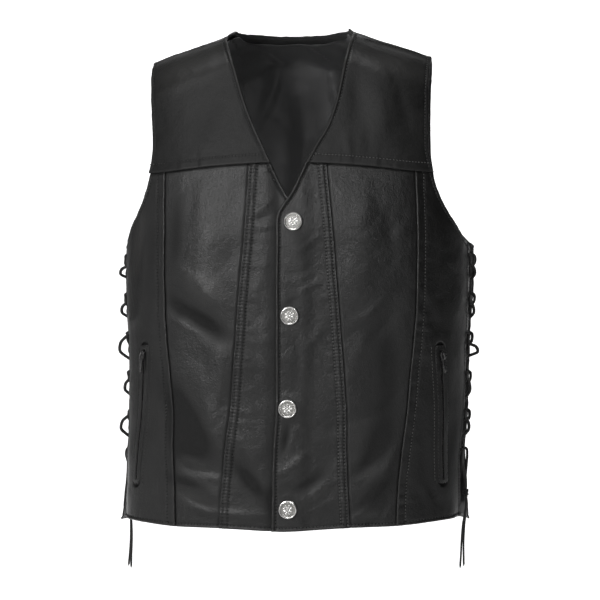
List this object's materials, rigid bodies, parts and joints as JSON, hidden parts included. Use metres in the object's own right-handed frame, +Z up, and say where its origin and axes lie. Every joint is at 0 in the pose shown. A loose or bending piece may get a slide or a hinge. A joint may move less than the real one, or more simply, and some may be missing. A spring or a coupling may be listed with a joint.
{
  "type": "biker vest",
  "caption": "Black leather biker vest, filled out and hollow, with a V neck, snap front, yokes, zip pockets and laced open sides.",
  "frame": {"origin": "level with the neck ends of the shoulders, midway between the armholes, where the wearer's shoulders hold the vest up", "axes": "+Z up, -Y out of the front, +X to the wearer's left"},
  "size_m": [0.4848, 0.2609, 0.7246],
  "materials": {
    "black_leather": "satin-finished black cowhide, fine grain",
    "black_satin": "black satin lining",
    "zip_tape": "black woven zip tape",
    "dark_metal": "dark polished zip metal",
    "nickel": "worn bright nickel",
    "lace_leather": "matt black leather lace"
  },
  "bodies": {
    "vest": {"back": "black_leather", "front_yoke_left": "black_leather", "front_center_left": "black_leather", "front_mid_left": "black_leather", "front_side_left": "black_leather", "pocket_welt_left": "black_leather", "front_yoke_right": "black_leather", "front_center_right": "black_leather", "front_mid_right": "black_leather", "front_side_right": "black_leather", "pocket_welt_right": "black_leather", "back_lining": "black_satin", "pocket_zip_left": "zip_tape", "pocket_zip_right": "zip_tape", "zip_slider_left": "dark_metal", "zip_slider_right": "dark_metal", "snap_1": "nickel", "snap_2": "nickel", "snap_3": "nickel", "snap_4": "nickel", "side_lace_left": "lace_leather", "side_lace_right": "lace_leather", "lace_knot_left": "lace_leather", "lace_knot_right": "lace_leather", "lace_end_left_front": "lace_leather", "lace_end_left_back": "lace_leather", "lace_end_right_front": "lace_leather", "lace_end_right_back": "lace_leather"},
    "pull_left": {"zip_pull_left": "dark_metal"},
    "pull_right": {"zip_pull_right": "dark_metal"}
  },
  "joints": [
    {"name": "pull_left_swing", "type": "hinge", "parent": "vest", "child": "pull_left", "pos_m": [0.19619, -0.08563, -0.42769], "axis": [-0.7373, -0.668, -0.1005], "range_deg": [0, 170]},
    {"name": "pull_right_swing", "type": "hinge", "parent": "vest", "child": "pull_right", "pos_m": [-0.20223, -0.08563, -0.42772], "axis": [-0.7375, 0.6673, 0.1044], "range_deg": [0, 170]}
  ]
}
